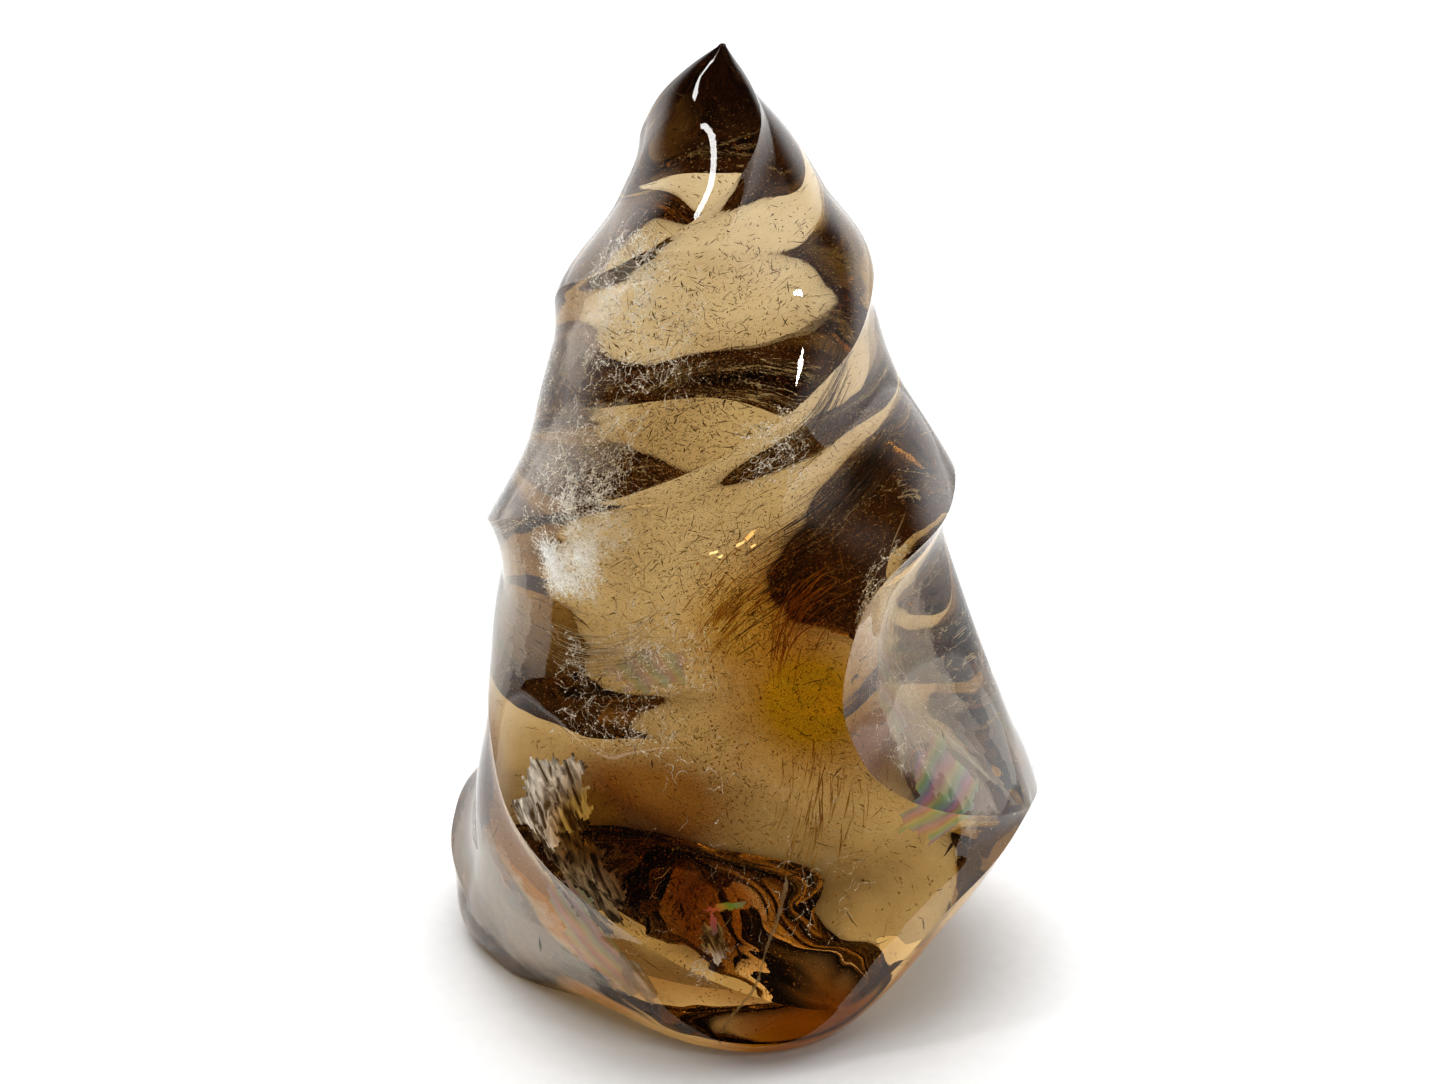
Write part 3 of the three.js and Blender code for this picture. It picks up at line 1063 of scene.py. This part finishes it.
def build_cracks():
    # The silver and bronze splinters glow in their pale streaks: painted highlights.
    silver = streaky_material("silver_crack_painted_glow", (0.12, 0.08, 0.04), (0.95, 0.97, 1), glow=0.35)
    bronze = streaky_material("bronze_crack_painted_glow", (0.05, 0.03, 0.012), (0.6, 0.5, 0.36), glow=0.08)
    orange, yellow = (0.85, 0.4, 0.1), (1, 0.85, 0.5)
    # The gold flakes glow fully: painted glints.
    gold = mottled_material("gold_crack_painted_glint", orange, yellow, roughness=0.25, metallic=0.8, glow=1)
    dull, bright = (0.5, 0.47, 0.44), (0.85, 0.83, 0.8)
    grey = mottled_material("grey_crack", dull, bright, roughness=0.3, metallic=0.6, alpha=0.6)
    rainbow = rainbow_material("rainbow_crack", strength=0.5, alpha=0.45, bands_along=(140, 0, -240))
    # The spark flakes glow: painted glints.
    spark = rainbow_material("spark_crack_painted_glint", strength=0.6, alpha=0.8, bands_along=(90, 0, 60), glow=0.6)
    pastel = rainbow_material("pastel_crack", strength=0.25, alpha=0.5, bands_along=(230, 0, 200))
    # The milky films are painted sheen, and glow faintly.
    milky_painted_sheen_material = rainbow_material("milky_painted_sheen", strength=0.05, alpha=0.16, bands_along=(160, 0, 160), glow=0.25)
    kinds = {
        "silver_cracks": (SILVER_CRACKS, SPLINTER, silver),
        "bronze_cracks": (BRONZE_CRACKS, SPLINTER, bronze),
        "gold_cracks": (GOLD_CRACKS, GLINT, gold),
        "grey_cracks": (GREY_CRACKS, FLAKE, grey),
        "rainbow_cracks": (RAINBOW_CRACKS, FLAKE, rainbow),
        "spark_cracks": (SPARK_CRACKS, GLINT, spark),
        "pastel_cracks": (PASTEL_CRACKS, FLAKE, pastel),
        "milky_painted_sheen_films": (PAINTED_SHEEN_CRACKS, FILM, milky_painted_sheen_material),
    }
    for name, (cracks, facet, material) in kinds.items():
        piece = add_inside(name, *joined([sheet(*crack, facet) for crack in cracks]), material)
        piece.data.shade_smooth()


def build_crack_line():
    """A thin pale wall that stands square to the surface along the crack."""
    line = smooth_line([(angle, height, 0) for angle, height in CRACK_LINE], CREST_STEPS)
    angles = line[:, 0] + rng.normal(0, CRACK_JITTER, len(line))
    walls = [below(angles, line[:, 1], depth) for depth in (SKIN / 4, CRACK_DEPTH)]
    count = len(line)
    start = np.arange(count - 1)
    squares = np.stack([start, start + 1, start + 1 + count, start + count], axis=1)
    pale = mottled_material("pale_crack", (0.6, 0.54, 0.45), (0.9, 0.86, 0.8), roughness=0.4, alpha=0.7)
    add_inside("crack_line", np.vstack(walls), squares, pale)


def paper_material():
    """White paper that glows far from the stone, so that it fades into the white room."""
    material = mottled_material("white_paper", (0.92, 0.92, 0.92), (0.94, 0.94, 0.94), roughness=0.9)
    links = material.node_tree.links
    shader = material.node_tree.nodes["Principled BSDF"]
    shader.inputs["Emission Color"].default_value = (1, 1, 1, 1)
    away = add_node(material, "ShaderNodeVectorMath", operation="LENGTH")
    links.new(add_node(material, "ShaderNodeTexCoord").outputs["Object"], away.inputs[0])
    begin, full = PAPER_FADE
    reach = {"From Min": begin, "From Max": full, "To Max": PAPER_GLOW}
    lit = add_node(material, "ShaderNodeMapRange", reach)
    links.new(away.outputs["Value"], lit.inputs["Value"])
    links.new(lit.outputs["Result"], shader.inputs["Emission Strength"])
    return material


def level_square(name, far, near, height, material):
    """A level four-sided sheet between two edges, each (y, half width)."""
    (far_y, far_half), (near_y, near_half) = far, near
    outline = [(-far_half, far_y), (far_half, far_y), (near_half, near_y), (-near_half, near_y)]
    corners = np.array([(x, y, height) for x, y in outline])
    return add_mesh(name, corners, np.array([(0, 1, 2, 3)]), material)


def build_floor():
    edges = (-FLOOR_HALF, FLOOR_HALF), (FLOOR_HALF, FLOOR_HALF)
    floor = level_square("floor", *edges, -FLOOR_DROP, paper_material())


def build_dark_card():
    """A black card on the table in front, seen by reflections alone, that keeps glare off the stone."""
    black = mottled_material("black_card", (0.005, 0.005, 0.005), (0.01, 0.01, 0.01), roughness=0.9)
    card = level_square("dark_card", CARD_FAR, CARD_NEAR, CARD_LIFT, black)
    card.visible_camera = False
    card.visible_diffuse = False
    card.visible_transmission = False
    card.visible_shadow = False


def build_studio():
    """The white room with its glows. The camera sees its backdrop white all round."""
    world = bpy.data.worlds.new("studio")
    bpy.context.scene.world = world
    world.use_nodes = True
    links = world.node_tree.links
    way = add_node(world, "ShaderNodeTexCoord").outputs["Generated"]
    brightness = add_node(world, "ShaderNodeValue").outputs["Value"]
    brightness.default_value = ROOM_BRIGHTNESS
    for direction, begin, full, added in GLOWS:
        dot = add_node(world, "ShaderNodeVectorMath", operation="DOT_PRODUCT")
        dot.inputs[1].default_value = Vector(direction).normalized()
        links.new(way, dot.inputs[0])
        glow = add_node(world, "ShaderNodeMapRange", {"From Min": begin, "From Max": full, "To Max": added})
        glow.interpolation_type = "SMOOTHSTEP"
        links.new(dot.outputs["Value"], glow.inputs["Value"])
        total = add_node(world, "ShaderNodeMath", operation="ADD")
        links.new(brightness, total.inputs[0])
        links.new(glow.outputs["Result"], total.inputs[1])
        brightness = total.outputs["Value"]
    backdrop = add_node(world, "ShaderNodeMath", {1: ROOM_BRIGHTNESS}, operation="MULTIPLY")
    links.new(add_node(world, "ShaderNodeLightPath").outputs["Is Camera Ray"], backdrop.inputs[0])
    seen = add_node(world, "ShaderNodeMath", operation="MAXIMUM")
    links.new(brightness, seen.inputs[0])
    links.new(backdrop.outputs["Value"], seen.inputs[1])
    background = world.node_tree.nodes["Background"]
    background.inputs["Color"].default_value = (1, 1, 1, 1)
    links.new(seen.outputs["Value"], background.inputs["Strength"])


def add_soft_box(name, way, distance, width, height, brightness, mirrored):
    """A lit rectangle that faces the stone. brightness is compared with a white surface in full light."""
    light = bpy.data.lights.new(name, "AREA")
    light.shape = "RECTANGLE"
    light.size = width
    light.size_y = height
    light.energy = brightness * math.pi * width * height
    box = bpy.data.objects.new(name, light)
    box.visible_glossy = mirrored
    turn_to(box, Vector(LIGHT_AIM) + Vector(way).normalized() * distance, LIGHT_AIM)


def turn_to(thing, place, aim):
    """Puts a light or the camera in its place, looking at a spot."""
    thing.location = place
    thing.rotation_euler = (Vector(aim) - thing.location).to_track_quat("-Z", "Y").to_euler()
    bpy.context.scene.collection.objects.link(thing)


def build_lights():
    for name, box in SOFT_BOXES.items():
        add_soft_box(name, *box)


def build_camera():
    data = bpy.data.cameras.new("camera")
    data.lens = CAMERA_LENS
    data.sensor_width = CAMERA_SENSOR
    data.clip_start = CAMERA_NEAREST
    camera = bpy.data.objects.new("camera", data)
    turn_to(camera, CAMERA_PLACE, CAMERA_AIM)
    bpy.context.scene.camera = camera


def set_light_and_tone():
    """How far light is followed through the stone, and the picture's contrast and brightness."""
    scene = bpy.context.scene
    scene.cycles.max_bounces = MOST_BOUNCES
    scene.cycles.transmission_bounces = MOST_BOUNCES
    scene.cycles.glossy_bounces = MOST_MIRRORINGS
    scene.view_settings.view_transform = "Standard"
    scene.view_settings.look = "Medium High Contrast"
    scene.view_settings.exposure = EXPOSURE


build_flame()
build_needles()
build_hairs()
build_slits()
build_haze()
build_amber()
build_veils()
build_fibres()
build_cracks()
build_crack_line()
build_floor()
build_dark_card()
build_studio()
build_lights()
build_camera()
set_light_and_tone()
